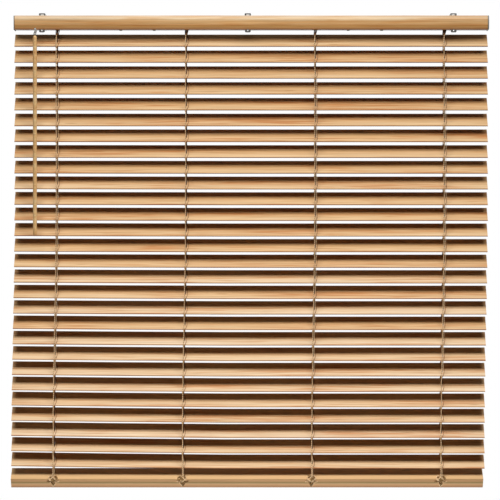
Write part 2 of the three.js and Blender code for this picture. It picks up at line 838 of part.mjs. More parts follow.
for (const side of [-1, 1]) {
  const name = side < 0 ? "spring_motor_left" : "spring_motor_right";
  place(name, springMotor(), materials.plastic, side * motorOffset);
}

const bracketGeometry = bracket();
const leverGeometry = bracketLever();
["left", "middle", "right"].forEach((name, i) => {
  const x = (i - 1) * bracketPitch;
  const armTop = channelBottom - clearance;
  place("bracket_" + name, bracketGeometry, materials.darkSteel, x, 0, 0, root);
  place("bracket_lever_" + name, leverGeometry, materials.darkSteel, x, leverPivotY, armTop, root);
});

export default root;
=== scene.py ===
import json
import math
import random

import bmesh
import bpy
from mathutils import Matrix, Vector


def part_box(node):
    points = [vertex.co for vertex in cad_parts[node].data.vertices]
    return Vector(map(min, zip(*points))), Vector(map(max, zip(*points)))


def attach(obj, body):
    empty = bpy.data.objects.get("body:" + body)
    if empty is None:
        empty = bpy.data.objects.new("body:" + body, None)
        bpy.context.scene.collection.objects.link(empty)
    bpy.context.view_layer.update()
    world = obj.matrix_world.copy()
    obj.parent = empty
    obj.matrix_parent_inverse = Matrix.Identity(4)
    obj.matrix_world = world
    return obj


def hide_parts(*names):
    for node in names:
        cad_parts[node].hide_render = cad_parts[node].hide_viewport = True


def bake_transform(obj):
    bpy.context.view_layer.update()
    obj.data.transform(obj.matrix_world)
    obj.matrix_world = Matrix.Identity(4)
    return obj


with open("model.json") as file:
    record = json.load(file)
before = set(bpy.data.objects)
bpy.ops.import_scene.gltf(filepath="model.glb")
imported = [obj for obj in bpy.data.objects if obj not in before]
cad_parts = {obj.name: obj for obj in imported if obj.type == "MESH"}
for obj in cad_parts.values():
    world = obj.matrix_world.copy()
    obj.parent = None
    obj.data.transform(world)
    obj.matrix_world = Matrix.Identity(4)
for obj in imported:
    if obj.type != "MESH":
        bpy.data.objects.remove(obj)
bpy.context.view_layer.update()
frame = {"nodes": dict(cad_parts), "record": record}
mm = 0.001
print("frame loaded:", len(frame["nodes"]), "nodes")


def linearColour(hexCode):
    # sRGB hex to the linear values that the shaders take
    channels = [int(hexCode[i:i + 2], 16) / 255 for i in (1, 3, 5)]
    return [c / 12.92 if c <= 0.04045 else ((c + 0.055) / 1.055) ** 2.4 for c in channels] + [1.0]


def addNode(owner, kind, settings=None, links=None):
    # owner is a material, the world or a lamp. A setting goes to the node's own property where it has one,
    # and otherwise to the socket of that name.
    tree = owner.node_tree
    node = tree.nodes.new(kind)
    for name, value in (settings or {}).items():
        if name == "stops":
            while len(node.color_ramp.elements) < len(value):
                node.color_ramp.elements.new(0.5)
            for element, (position, hexCode) in zip(node.color_ramp.elements, value):
                element.position = position
                element.color = linearColour(hexCode)
        elif isinstance(name, str) and hasattr(node, name):
            setattr(node, name, value)
        else:
            node.inputs[name].default_value = value
    for name, source in (links or {}).items():
        tree.links.new(source, node.inputs[name])
    return node


def newMaterial(name, settings):
    material = bpy.data.materials.new(name)
    material.use_nodes = True
    shader = material.node_tree.nodes["Principled BSDF"]
    for socket, value in settings.items():
        shader.inputs[socket].default_value = value
    return material, shader


def connect(owner, source, node, socket):
    owner.node_tree.links.new(source, node.inputs[socket])


bamboo = {
    # size of each pattern along, across and through the strip
    "fibres": (150 * mm, 1.3 * mm, 5 * mm),  # a bundle is 0.3 mm wide, drawn as coarse as it needs to show
    "streaks": (110 * mm, 2.6 * mm, 7 * mm),
    "broad": (520 * mm, 20 * mm, 20 * mm),
    "nodes": (210 * mm, 15 * mm, 15 * mm),  # the growth rings of the cane
    "fibreDepth": 0.05 * mm,
}


def bambooMaterial(name, tilt, tones, roughness, coat, specular=0.3, fibreContrast=0.5, washes=()):
    # Split bamboo under clear lacquer: long straight fibres, broader streaks of sap colour,
    # and a darker fleck where the cane had a node. The grain runs along X.
    material, shader = newMaterial(name, {"Roughness": roughness, "IOR": 1.5, "Coat Weight": coat,
                                          "Coat Roughness": 0.25, "Specular IOR Level": specular})
    place = addNode(material, "ShaderNodeTexCoord").outputs["Object"]
    turned = addNode(material, "ShaderNodeMapping", {"Rotation": (-tilt, 0, 0)}, {"Vector": place}).outputs["Vector"]
    grain = {}
    for pattern in ("fibres", "streaks", "broad", "nodes"):
        grain[pattern] = addNode(material, "ShaderNodeMapping", {"Scale": [1 / size for size in bamboo[pattern]]},
                                 {"Vector": turned}).outputs["Vector"]
    fibres = addNode(material, "ShaderNodeTexNoise", {"Scale": 1, "Detail": 3, "Roughness": 0.6},
                     {"Vector": grain["fibres"]}).outputs["Fac"]
    streaks = addNode(material, "ShaderNodeTexNoise", {"Scale": 1, "Detail": 2, "Roughness": 0.55, "Distortion": 0.4},
                      {"Vector": grain["streaks"]}).outputs["Fac"]
    broad = addNode(material, "ShaderNodeTexNoise", {"Scale": 1, "Detail": 1},
                    {"Vector": grain["broad"]}).outputs["Fac"]
    share = addNode(material, "ShaderNodeMath", {"operation": "MULTIPLY", 1: 0.6}, {0: streaks}).outputs[0]
    mixed = addNode(material, "ShaderNodeMath", {"operation": "MULTIPLY_ADD", 1: 0.4}, {0: broad, 2: share}).outputs[0]
    tone = addNode(material, "ShaderNodeValToRGB", {"stops": [(0.36, tones[0]), (0.46, tones[1]), (0.54, tones[2]),
                                                              (0.64, tones[3])]}, {"Fac": mixed}).outputs["Color"]
    # each wash multiplies the tone by a ramp over the height or over a number stamped on the vertices; the slats' wash
    # across the strip and the fascia's wash over its height are painted light and shade
    for source, low, high, stops in washes:
        if source == "height":
            value = addNode(material, "ShaderNodeSeparateXYZ", links={"Vector": place}).outputs["Z"]
        else:
            value = addNode(material, "ShaderNodeAttribute", {"attribute_name": source}).outputs["Fac"]
        value = addNode(material, "ShaderNodeMapRange", {"From Min": low, "From Max": high},
                        {"Value": value}).outputs[0]
        wash = addNode(material, "ShaderNodeValToRGB", {"stops": stops}, {"Fac": value}).outputs["Color"]
        tone = addNode(material, "ShaderNodeMix", {"data_type": "RGBA", "blend_type": "MULTIPLY", 0: 1.0},
                       {6: tone, 7: wash}).outputs[2]
    fibreTone = addNode(material, "ShaderNodeMapRange", {
        "From Min": 0.35, "From Max": 0.7, "To Min": 1.0 + 0.06 * fibreContrast, "To Max": 1.0 - 0.3 * fibreContrast},
        {"Value": fibres})
    grained = addNode(material, "ShaderNodeVectorMath", {"operation": "SCALE"},
                      {0: tone, "Scale": fibreTone.outputs["Result"]}).outputs[0]
    flecks = addNode(material, "ShaderNodeTexVoronoi", {"Scale": 1, "Randomness": 1.0}, {"Vector": grain["nodes"]})
    fleckSize = addNode(material, "ShaderNodeMapRange",
                        {"From Min": 0.03, "From Max": 0.08, "To Min": 0.6, "To Max": 0.0},
                        {"Value": flecks.outputs["Distance"]})
    fleckTone = addNode(material, "ShaderNodeMix", {"data_type": "RGBA", 7: linearColour(tones[4])},
                        {0: fleckSize.outputs["Result"], 6: grained})
    connect(material, fleckTone.outputs[2], shader, "Base Color")
    gloss = addNode(material, "ShaderNodeMapRange", {"To Min": roughness - 0.07, "To Max": roughness + 0.1},
                    {"Value": fibres})
    connect(material, gloss.outputs["Result"], shader, "Roughness")
    bump = addNode(material, "ShaderNodeBump", {"Strength": 0.5, "Distance": bamboo["fibreDepth"]}, {"Height": fibres})
    connect(material, bump.outputs["Normal"], shader, "Normal")
    return material


def braidMaterial(name, light, dark, pitch):
    # Braided polyester: strands that cross on the slant, soft sheen, no gloss.
    material, shader = newMaterial(name, {"Roughness": 0.85, "IOR": 1.5, "Specular IOR Level": 0.1,
                                          "Sheen Weight": 0.1, "Sheen Roughness": 0.5})
    place = addNode(material, "ShaderNodeTexCoord").outputs["Object"]
    waves = []
    for lean in (0.75, -0.75):
        turned = addNode(material, "ShaderNodeMapping", {"Rotation": (0, lean, 0)}, {"Vector": place})
        waves.append(addNode(material, "ShaderNodeTexWave", {"bands_direction": "Z", "Scale": 1 / (pitch * 6.4),
                                                              "Distortion": 1.5, "Detail": 1, "Detail Scale": 2},
                             {"Vector": turned.outputs["Vector"]}).outputs["Fac"])
    strands = addNode(material, "ShaderNodeMath", {"operation": "MULTIPLY"}, {0: waves[0], 1: waves[1]})
    # dark in the hollows and light on the strands: painted shade
    tone = addNode(material, "ShaderNodeValToRGB", {"stops": [(0.0, dark), (0.5, light)]}, {"Fac": strands.outputs[0]})
    connect(material, tone.outputs["Color"], shader, "Base Color")
    bump = addNode(material, "ShaderNodeBump", {"Strength": 0.6, "Distance": 0.15 * mm}, {"Height": strands.outputs[0]})
    connect(material, bump.outputs["Normal"], shader, "Normal")
    return material


def fineMaterial(name, hexCode, darker, metallic, roughness, grit, stretch=(1, 1, 1), depth=0.02, extra=None):
    # A base with a fine noise in its colour, gloss and height. grit is the size of that noise, drawn about ten
    # times as coarse as the real grain, which would not show.
    material, shader = newMaterial(name, {"Metallic": metallic, "Roughness": roughness, **(extra or {})})
    place = addNode(material, "ShaderNodeTexCoord").outputs["Object"]
    scaled = addNode(material, "ShaderNodeMapping", {"Scale": [s / grit for s in stretch]}, {"Vector": place})
    noise = addNode(material, "ShaderNodeTexNoise", {"Scale": 1, "Detail": 3}, {"Vector": scaled.outputs["Vector"]})
    tone = addNode(material, "ShaderNodeValToRGB", {"stops": [(0.3, darker), (0.7, hexCode)]},
                   {"Fac": noise.outputs["Fac"]})
    connect(material, tone.outputs["Color"], shader, "Base Color")
    gloss = addNode(material, "ShaderNodeMapRange", {"To Min": roughness - 0.08, "To Max": roughness + 0.08},
                    {"Value": noise.outputs["Fac"]})
    connect(material, gloss.outputs["Result"], shader, "Roughness")
    bump = addNode(material, "ShaderNodeBump", {"Strength": 0.4, "Distance": depth * mm},
                   {"Height": noise.outputs["Fac"]})
    connect(material, bump.outputs["Normal"], shader, "Normal")
    return material


def selectOnly(*objects):
    if bpy.context.object and bpy.context.object.mode != "OBJECT":
        bpy.ops.object.mode_set(mode="OBJECT")
    bpy.ops.object.select_all(action="DESELECT")
    for item in objects:
        item.select_set(True)
    bpy.context.view_layer.objects.active = objects[0]


def startEdit(piece, mode):
    selectOnly(piece)
    bpy.ops.object.mode_set(mode="EDIT")
    bpy.ops.mesh.select_mode(type=mode)
    bpy.ops.mesh.select_all(action="DESELECT")
    return bmesh.from_edit_mesh(piece.data)


def endEdit():
    bpy.ops.object.mode_set(mode="OBJECT")


def pickEdges(piece, test):
    edges = startEdit(piece, "EDGE").edges
    for edge in edges:
        edge.select = test(edge)
    bmesh.update_edit_mesh(piece.data)


def applyModifier(piece, kind, **settings):
    selectOnly(piece)
    modifier = piece.modifiers.new(kind.title(), kind)
    for name, value in settings.items():
        setattr(modifier, name, value)
    bpy.ops.object.modifier_apply(modifier=modifier.name)


def addBlock(name, low, high):
    size = [b - a for a, b in zip(low, high)]
    bpy.ops.mesh.primitive_cube_add(size=1, location=[(a + b) / 2 for a, b in zip(low, high)], scale=size)
    piece = bpy.context.object
    piece.name = name
    bpy.ops.object.transform_apply(location=True, rotation=True, scale=True)
    return piece


def addRod(name, radius, length, middle, axis="Z", sides=32):
    turn = {"X": (0, math.pi / 2, 0), "Y": (math.pi / 2, 0, 0), "Z": (0, 0, 0)}[axis]
    bpy.ops.mesh.primitive_cylinder_add(vertices=sides, radius=radius, depth=length, location=middle, rotation=turn)
    piece = bpy.context.object
    piece.name = name
    bpy.ops.object.transform_apply(location=True, rotation=True, scale=True)
    return piece


def copyOf(piece, name):
    selectOnly(piece)
    bpy.ops.object.duplicate()
    twin = bpy.context.object
    twin.name = name
    return twin


def smooth(piece, degrees):
    selectOnly(piece)
    bpy.ops.object.shade_smooth_by_angle(angle=math.radians(degrees))


def dress(piece, material):
    piece.data.materials.clear()
    piece.data.materials.append(material)
    return piece


def turnAndPlace(piece, tilt, y, z, x=0.0):
    # turned about X and moved, with its place kept in the mesh
    piece.data.transform(Matrix.Translation((x, y, z)) @ Matrix.Rotation(tilt, 4, "X"))
    return piece


def stamp(piece, name, value):
    # a number on every vertex that the material reads: value takes the vertex's place
    layer = piece.data.attributes.new(name, "FLOAT", "POINT")
    layer.data.foreach_set("value", [value(vertex.co) for vertex in piece.data.vertices])


def cutOut(piece, cutter):
    applyModifier(piece, "BOOLEAN", operation="DIFFERENCE", object=cutter, solver="EXACT")
    bpy.data.objects.remove(cutter)


def joined(pieces, name):
    selectOnly(*pieces)
    bpy.ops.object.join()
    piece = bpy.context.object
    piece.name = name
    return piece


def drawnCord(name, points, radius, smoothness, sides):
    # a round cord along a poly line whose corners are eased, ended closed
    curve = bpy.data.curves.new(name, "CURVE")
    curve.dimensions = "3D"
    curve.bevel_depth = radius
    curve.bevel_resolution = sides
    curve.use_fill_caps = True
    curve.resolution_u = smoothness
    spline = curve.splines.new("BEZIER")
    spline.bezier_points.add(len(points) - 1)
    for point, place in zip(spline.bezier_points, points):
        point.co = place
        point.handle_left_type = point.handle_right_type = "AUTO"
    piece = bpy.data.objects.new(name, curve)
    bpy.context.scene.collection.objects.link(piece)
    selectOnly(piece)
    bpy.ops.object.convert(target="MESH")
    piece = bpy.context.object
    piece.name = name
    bpy.ops.object.shade_smooth()
    return piece


def refined(node, name, bevel, material, segments=2):
    # a copy of a frame part with its loose triangles merged and its edges eased
    source = frame["nodes"][node]
    piece = bpy.data.objects.new(name, source.data.copy())
    bpy.context.scene.collection.objects.link(piece)
    startEdit(piece, "VERT")
    bpy.ops.mesh.select_all(action="SELECT")
    bpy.ops.mesh.remove_doubles(threshold=0.00001)
    bpy.ops.mesh.dissolve_limited(angle_limit=math.radians(1.5))
    endEdit()
    if bevel:
        applyModifier(piece, "BEVEL", width=bevel, segments=segments, limit_method="ANGLE",
                      angle_limit=math.radians(30))
    smooth(piece, 40)
    dress(piece, material)
    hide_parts(node)
    body = next(b for b, nodes in frame["record"]["behaviour"]["bodies"].items() if node in nodes)
    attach(piece, body)
    return piece


slat = {
    "count": 28,
    "length": 947.5 * mm,
    "width": 35 * mm,
    "thickness": 2.2 * mm,
    "edgeRound": 0.85 * mm,
    "tilt": math.radians(47.2),
    "sag": (-0.6 * mm, 3.4 * mm),  # how far the first slat hangs low, and how much more the rail does
    "axisY": 2.5 * mm,
    "slotLength": 14.5 * mm,
    "slotWidth": 2.1 * mm,
    "cordOffset": 1.8 * mm,  # from the ladder to the lift cord
    "lean": (2.0 * mm, 6.4 * mm),  # how far left the first slat hangs, and how much more the rail does
    "leanFrom": 0.38,  # the share of the drop at which the swing to the left starts
    "leanTo": 0.93,
    "rise": 5.2 * mm,  # how much higher the last slat hangs at its left end than from riseFrom on
    "riseFrom": -40 * mm,
    "bends": (-40 * mm, -260 * mm),  # where the slats are cut across, so that they can bend
    "slide": 1.8 * mm,  # the slats sit this far right of even on their ladders
}

# satin-lacquered split bamboo: straight pale fibres, a little pink in the streaks; its wash across the strip is painted
# light: painted shade towards the rear edge, a painted highlight near the front and painted shade on the front edge
bambooSlat = bambooMaterial("lacqueredBambooSlat", slat["tilt"],
                            ["#D9A67C", "#EBCFB0", "#F2DDC0", "#F7E4CE", "#A8703E"],
                            roughness=0.5, coat=0.02, specular=0.12, fibreContrast=0.7, washes=[
                                # painted shade at the rear edge, a painted highlight near the front, painted shade on
                                # the front edge
                                ("across", 0.0, 1.0, [(0.0, "#E4D2BC"), (0.5, "#EBDCC8"), (0.88, "#FFFFFF"),
                                                      (0.96, "#FFF8F0"), (1.0, "#B8967A")]),
                                ("tint", 0.0, 1.0, [(0.0, "#F8E6CA"), (0.35, "#F8E6CA"), (0.7, "#FFF6E8"),
                                                    (1.0, "#FFFFFF")])])
# a thicker bamboo strip under gloss lacquer; the ramp over its height sets the bamboo's amber and paints its light: a
# painted highlight along the top, painted shade growing darker as its curve turns down
bambooFascia = bambooMaterial("lacqueredBambooFascia", 0, ["#EED6BC", "#FAF0E2", "#FFFFFF", "#FFF6EA", "#A86C3A"],
                              roughness=0.4, coat=0.15, specular=0.4, fibreContrast=0.7, washes=[
                                  # the bamboo's tone with painted light over the height: a painted highlight near the
                                  # top, darker painted shade towards the bottom
                                  ("height", -32.6 * mm, -4.4 * mm, [
                                      (0.0, "#C98F58"), (0.07, "#BC8250"), (0.15, "#DFA766"), (0.22, "#E0A962"),
                                      (0.29, "#E5A65F"), (0.36, "#FCC282"), (0.43, "#F8C484"), (0.57, "#EBB87C"),
                                      (0.65, "#FCD29C"), (0.72, "#FFE2B6"), (0.79, "#FDDCB0"), (0.86, "#F4D8B0"),
                                      (0.95, "#F2D6B6")])])
# turned and waxed hardwood: warmer and smoother than the bamboo
turnedWand = bambooMaterial("waxedHardwoodWand", 0, ["#DFA86C", "#E8B87A", "#EFC68A", "#F4D09C", "#B57E48"],
                            roughness=0.5, coat=0.05)
# braided polyester: matt, with painted shade in the hollows between the strands
ladderBraid = braidMaterial("braidedLadderString", "#F4D8B0", "#C79C6A", 1.4 * mm)
# the ladder braid in a darker brown: painted shade, on the leads under the headrail and on the loops over the slats
shadedBraid = braidMaterial("shadedLadderBraid", "#B98A62", "#8A6244", 1.4 * mm)
# the ladder string again, darker: painted shade on the knots' inner turns, and a browner tone on every third strand
darkerKnotBraid = braidMaterial("darkerKnotString", "#B08A58", "#6E5230", 1.4 * mm)
# the lift cord is a tighter braid in mid brown, darker than the ladder string: partly its own colour, partly painted
# shade for the slats' shadow it runs in
liftBraid = braidMaterial("braidedLiftCord", "#8E6848", "#604530", 1.2 * mm)
# zinc-plated steel: cool grey, brushed along its length by the roll former
zincSteel = fineMaterial("zincPlatedSteel", "#96989A", "#7C7F82", 1.0, 0.5, 1.2 * mm, (0.04, 1, 1))
# sheet steel under dark stoving enamel, with the enamel's own gloss
darkEnamel = fineMaterial("stovedEnamelSteel", "#3A3835", "#2A2926", 0.0, 0.3, 1.5 * mm,
                          extra={"Coat Weight": 1.0, "Coat Roughness": 0.04})
# bright zinc on the eyelets; on the brackets' tongues and the insides of their legs it is a painted highlight
brightZincAndHighlight = fineMaterial("brightZincAndPaintedHighlight", "#F4F4F2", "#DEDEDC", 1.0, 0.3, 1.2 * mm)
# nickel-plated wire: warm grey and fairly bright
nickelWire = fineMaterial("nickelPlatedWire", "#C9C6BE", "#A8A49B", 1.0, 0.25, 0.8 * mm)
# moulded ABS with a fine spark-eroded grain
greyPlastic = fineMaterial("mouldedGreyAbs", "#8E8C88", "#82807C", 0.0, 0.5, 0.8 * mm, depth=0.03)
# moulded acetal: waxy and nearly white
acetal = fineMaterial("naturalAcetal", "#EAE7DF", "#DEDBD2", 0.0, 0.38, 1.5 * mm, extra={"Subsurface Weight": 0.05})
# cast polycarbonate, smoky and half clear, which reads as a soft grey
smokyLink = fineMaterial("smokyPolycarbonate", "#A3A09C", "#8A8784", 0.0, 0.45, 2 * mm,
                         extra={"Specular IOR Level": 0.3})

ladders = []  # x of each ladder
for number in range(1, 5):
    low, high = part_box(f"ladder_front_{number}")
    ladders.append((low.x + high.x) / 2)
frameString = 0.75 * mm  # radius of the frame's own strings
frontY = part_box("ladder_front_1")[0].y + frameString
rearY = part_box("ladder_rear_1")[1].y - frameString
pivots = {joint["name"]: joint["pos_m"] for joint in frame["record"]["behaviour"]["joints"]}
slatPivots = [pivots[f"slat_{number:02d}_tilt"][2] for number in range(1, slat["count"] + 1)]
middleX = (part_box("slat_01")[0].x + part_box("slat_01")[1].x) / 2
railPivot = pivots["bottom_rail_tilt"][2]


def down(z):
    # 0 at the first slat and 1 at the rail
    return max(0.0, (slatPivots[0] - z) / (slatPivots[0] - railPivot))


def leanAt(z):
    # it hangs straight above leanFrom and has swung all the way at leanTo
    share = min(1.0, max(0.0, (down(z) - slat["leanFrom"]) / (slat["leanTo"] - slat["leanFrom"])))
    return -slat["lean"][0] - slat["lean"][1] * share * share * (3 - 2 * share)


def riseAt(x, z):
    # the curtain's left part hangs higher towards the rail
    share = max(0.0, (slat["riseFrom"] - x) / (slat["riseFrom"] - middleX + slat["length"] / 2))
    return slat["rise"] * down(z) ** 2 * share ** 1.3


slatHeights = [z - slat["sag"][0] - slat["sag"][1] * down(z) for z in slatPivots]


def liftLeft(piece, height):
    for vertex in piece.data.vertices:
        vertex.co.z += riseAt(vertex.co.x, height)


def atLadders(rod):
    # a copy of the rod at every ladder, in one piece
    copies = [turnAndPlace(copyOf(rod, "cutter"), tilt=0, y=0, z=0, x=x) for x in ladders]
    bpy.data.objects.remove(rod)
    return joined(copies, "cutter")


def makeSlats():
    middle = middleX + slat["slide"]
    blank = addBlock("slatBlank", (middle - slat["length"] / 2, -slat["width"] / 2, -slat["thickness"] / 2),
                     (middle + slat["length"] / 2, slat["width"] / 2, slat["thickness"] / 2))
    pickEdges(blank, lambda e: abs(e.verts[0].co.x - e.verts[1].co.x) > 0.1)
    bpy.ops.mesh.bevel(offset=slat["edgeRound"], segments=4)
    endEdit()
    # a rod is drawn out to a slot, and a copy of it is set at each ladder
    rod = addRod("slotRod", slat["slotWidth"] / 2, 10 * mm, (slat["cordOffset"], 0, 0), sides=16)
    reach = (slat["slotLength"] - slat["slotWidth"]) / 2
    for rearHalf, shift in ((True, reach), (False, -reach)):
        for vertex in startEdit(rod, "VERT").verts:
            vertex.select = (vertex.co.y > 0.01 * mm) == rearHalf
        bmesh.update_edit_mesh(rod.data)
        bpy.ops.transform.translate(value=(0, shift, 0))
        endEdit()
    cutOut(blank, atLadders(rod))
    for x in slat["bends"]:
        startEdit(blank, "FACE")
        bpy.ops.mesh.select_all(action="SELECT")
        bpy.ops.mesh.bisect(plane_co=(x, 0, 0), plane_no=(1, 0, 0))
        endEdit()
    smooth(blank, 30)
    dress(blank, bambooSlat)
    # across runs from 0 at the rear edge to 1 at the front, for the painted shade and highlight across the strip
    stamp(blank, "across", lambda place: 0.5 - place.y / slat["width"])
    draw = random.Random(28)
    for number, height in enumerate(slatHeights, 1):
        piece = copyOf(blank, f"bamboo_slat_{number:02d}")
        tint = 0.12 + 0.62 * down(height) + draw.uniform(-0.2, 0.2)
        stamp(piece, "tint", lambda place: tint)
        turnAndPlace(piece, slat["tilt"], slat["axisY"], height, leanAt(height))
        liftLeft(piece, height)
        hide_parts(f"slat_{number:02d}")
        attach(piece, f"slat_{number:02d}")
    bpy.data.objects.remove(blank)
    print("slats:", len(slatHeights))


makeSlats()


ladder = {
    "string": 0.78 * mm,  # radii, drawn a little heavy so that they show
    "rung": 0.5 * mm,
    "twin": 0.5 * mm,
    "lift": 0.95 * mm,
    "liftSteps": 24,  # straight runs in a lift cord
    "twinGap": 4.0 * mm,  # at the top, and six tenths of it at the foot
    "twinned": (1, 3, 4),
    "twinFoot": 42,  # the bend of the string at which the long twins join it
    "halfPitch": 15.5 * mm,
    "drum": 8.0 * mm,  # the drum's radius, which the leads leave
    "fork": 2.6 * mm,  # half the width of the fork at the drum
    # above this height the lead takes the darker braid, painted shade
    "shadeEnd": -43 * mm,
    # the lead's corners: height, then its shares of the fork, of the way off the drum and of the lean
    "lead": [(-23 * mm, 1.0, 0.0, 0.0), (-31 * mm, 0.95, 0.25, 0.0), (-38 * mm, 0.7, 0.5, 0.5),
             (-46 * mm, 0.0, 0.8, 1.0)],
}
rungReach = (rearY - frontY) / 2 / math.cos(slat["tilt"])


def makeRungs():
    # each rung leaves the front string, passes under the slat and meets the rear string
    under = -slat["thickness"] / 2 - ladder["rung"]
    parts = []
    loops = []
    for x in ladders:
        for side in (-1, 1):
            parts.append(drawnCord("rung", [
                (x + side * 0.3 * mm, -rungReach, 0.8 * mm * side),
                (x + side * 1.1 * mm, -rungReach + 2.2 * mm, under * 0.9),
                (x + side * 1.2 * mm, -6 * mm, under),
                (x + side * 1.0 * mm, 6 * mm, under),
                (x + side * 1.1 * mm, rungReach - 2.2 * mm, under * 0.9),
                (x + side * 0.3 * mm, rungReach, 0.8 * mm * side)], ladder["rung"], 3, 1))
        # a third one loops over the slat, beside the lift cord
        over = slat["thickness"] / 2 + ladder["rung"] * 0.8
        loops.append(drawnCord("rung", [
            (x + 0.3 * mm, -rungReach, 0.6 * mm), (x + 2.4 * mm, -rungReach + 3.6 * mm, over),
            (x + 5.4 * mm, -8 * mm, over), (x + 5.8 * mm, 2 * mm, over), (x + 3.4 * mm, 12 * mm, over),
            (x + 0.4 * mm, rungReach, 0.6 * mm)], ladder["rung"], 4, 1))
    for part in parts:
        dress(part, ladderBraid)
    # the loops over the slats take the darker braid: painted shade
    for loop in loops:
        dress(loop, shadedBraid)
    blank = joined(parts + loops, "rungBlank")
    for number, height in enumerate(slatHeights, 1):
        piece = copyOf(blank, f"ladder_rungs_{number:02d}")
        turnAndPlace(piece, slat["tilt"], slat["axisY"], height, leanAt(height))
        liftLeft(piece, height)
        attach(piece, f"slat_{number:02d}")
    bpy.data.objects.remove(blank)


def makeStrings():
    draw = random.Random(7)
    for index, x in enumerate(ladders, 1):
        for side, y, body, node in ((-1, frontY, "front_strings", "ladder_front_"),
                                    (1, rearY, "rear_strings", "ladder_rear_")):
            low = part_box(f"{node}{index}")[0]
            points = []
            for height in slatHeights:
                knot = height + riseAt(x, height) + side * rungReach * math.sin(slat["tilt"])
                points.append((x + leanAt(knot) + draw.uniform(-0.3, 0.3) * mm, y, knot))
                knot -= ladder["halfPitch"]
                points.append((x + leanAt(knot) + draw.uniform(-0.5, 0.5) * mm, y + draw.uniform(-0.2, 0.2) * mm, knot))
            top = points[0]
            foot = low.z + 2 * mm
            points = [p for p in points if p[2] > foot + 6 * mm] + [(x + leanAt(foot), y, foot)]
            strands = [drawnCord("strand", points, ladder["string"], 3, 2)]
            if side < 0:  # a thinner twin lies on the lift cord's other side, and shows again above each knot
                spans = [(3, ladder["twinFoot"])] if index in ladder["twinned"] else []
                for first, last in spans + [(len(points) - 4, len(points))]:
                    strands.append(drawnCord("strand", [points[first]] + [
                        (place[0] + ladder["twinGap"] * (1 - 0.4 * down(place[2])) + draw.uniform(-0.5, 0.5) * mm,
                         place[1], place[2]) for place in points[first + 1:last]], ladder["twin"], 3, 2))
            string = dress(joined(strands, f"{node}string_{index}"), ladderBraid)
            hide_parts(f"{node}{index}")
            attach(string, body)
            # the string forks to both flanges of its drum; the lead is drawn as it hangs at rest
            onDrum = slat["axisY"] + side * ladder["drum"]
            strands = []
            for fork in (-ladder["fork"], 0, ladder["fork"]):
                corners = [(x + fork * spread + leanAt(0) * leant, onDrum + (y - onDrum) * off, z)
                           for z, spread, off, leant in ladder["lead"]]
                strands.append(drawnCord("lead", corners + [top], ladder["string"], 6, 2))
            lead = dress(joined(strands, f"{node}lead_{index}"), ladderBraid)
            lead.data.materials.append(shadedBraid)
            for face in lead.data.polygons:  # the fork's upper part takes the darker braid: painted shade under the headrail
                face.material_index = 1 if face.center.z > ladder["shadeEnd"] else 0
            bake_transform(lead)


def makeLiftCords():
    for index, x in enumerate(ladders, 1):
        low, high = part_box(f"lift_cord_{index}")
        y = (low.y + high.y) / 2
        steps = ladder["liftSteps"]
        heights = [high.z - (high.z - low.z) * step / steps for step in range(steps + 1)]
        points = [(x + slat["cordOffset"] + leanAt(z), y, z) for z in heights]
        cord = dress(drawnCord(f"lift_cord_braid_{index}", points, ladder["lift"], 1, 2), liftBraid)
        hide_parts(f"lift_cord_{index}")
        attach(cord, "headrail")


makeRungs()
makeStrings()
makeLiftCords()
print("ladders:", len(ladders))


rail = {
    "length": 945.5 * mm,
    "width": 36 * mm,
    "thickness": 22.8 * mm,
    "edgeRound": 2.2 * mm,
    "tilt": math.radians(35),
    "hole": 4 * mm,
    "lift": 2.9 * mm,
    "fibres": (150 * mm, 1.6 * mm, 1.6 * mm),  # as on the slats, drawn coarser than the real 0.3 mm bundles
    "endRound": 0.5 * mm,
    # the strips that it is glued from, seen on its front from the bottom to the top face; the tones also darken towards
    # the bottom edge as painted shade
    "layers": [(0.0, "#AF825D"), (0.11, "#B68764"), (0.22, "#D0A071"), (0.34, "#DAA877"), (0.5, "#E2BA8B"),
               (0.53, "#A88F5D"), (0.62, "#A88F5D"), (0.66, "#C39B69"), (0.75, "#C39B69"), (0.78, "#DAA878"),
               (0.87, "#DAA878"), (0.9, "#C39967"), (0.955, "#C39967"), (0.975, "#DDB07C"), (1.0, "#E0B682")],
}
railLine = railPivot - slat["sag"][0] - slat["sag"][1] + rail["lift"]  # the line it hangs on, in its top face


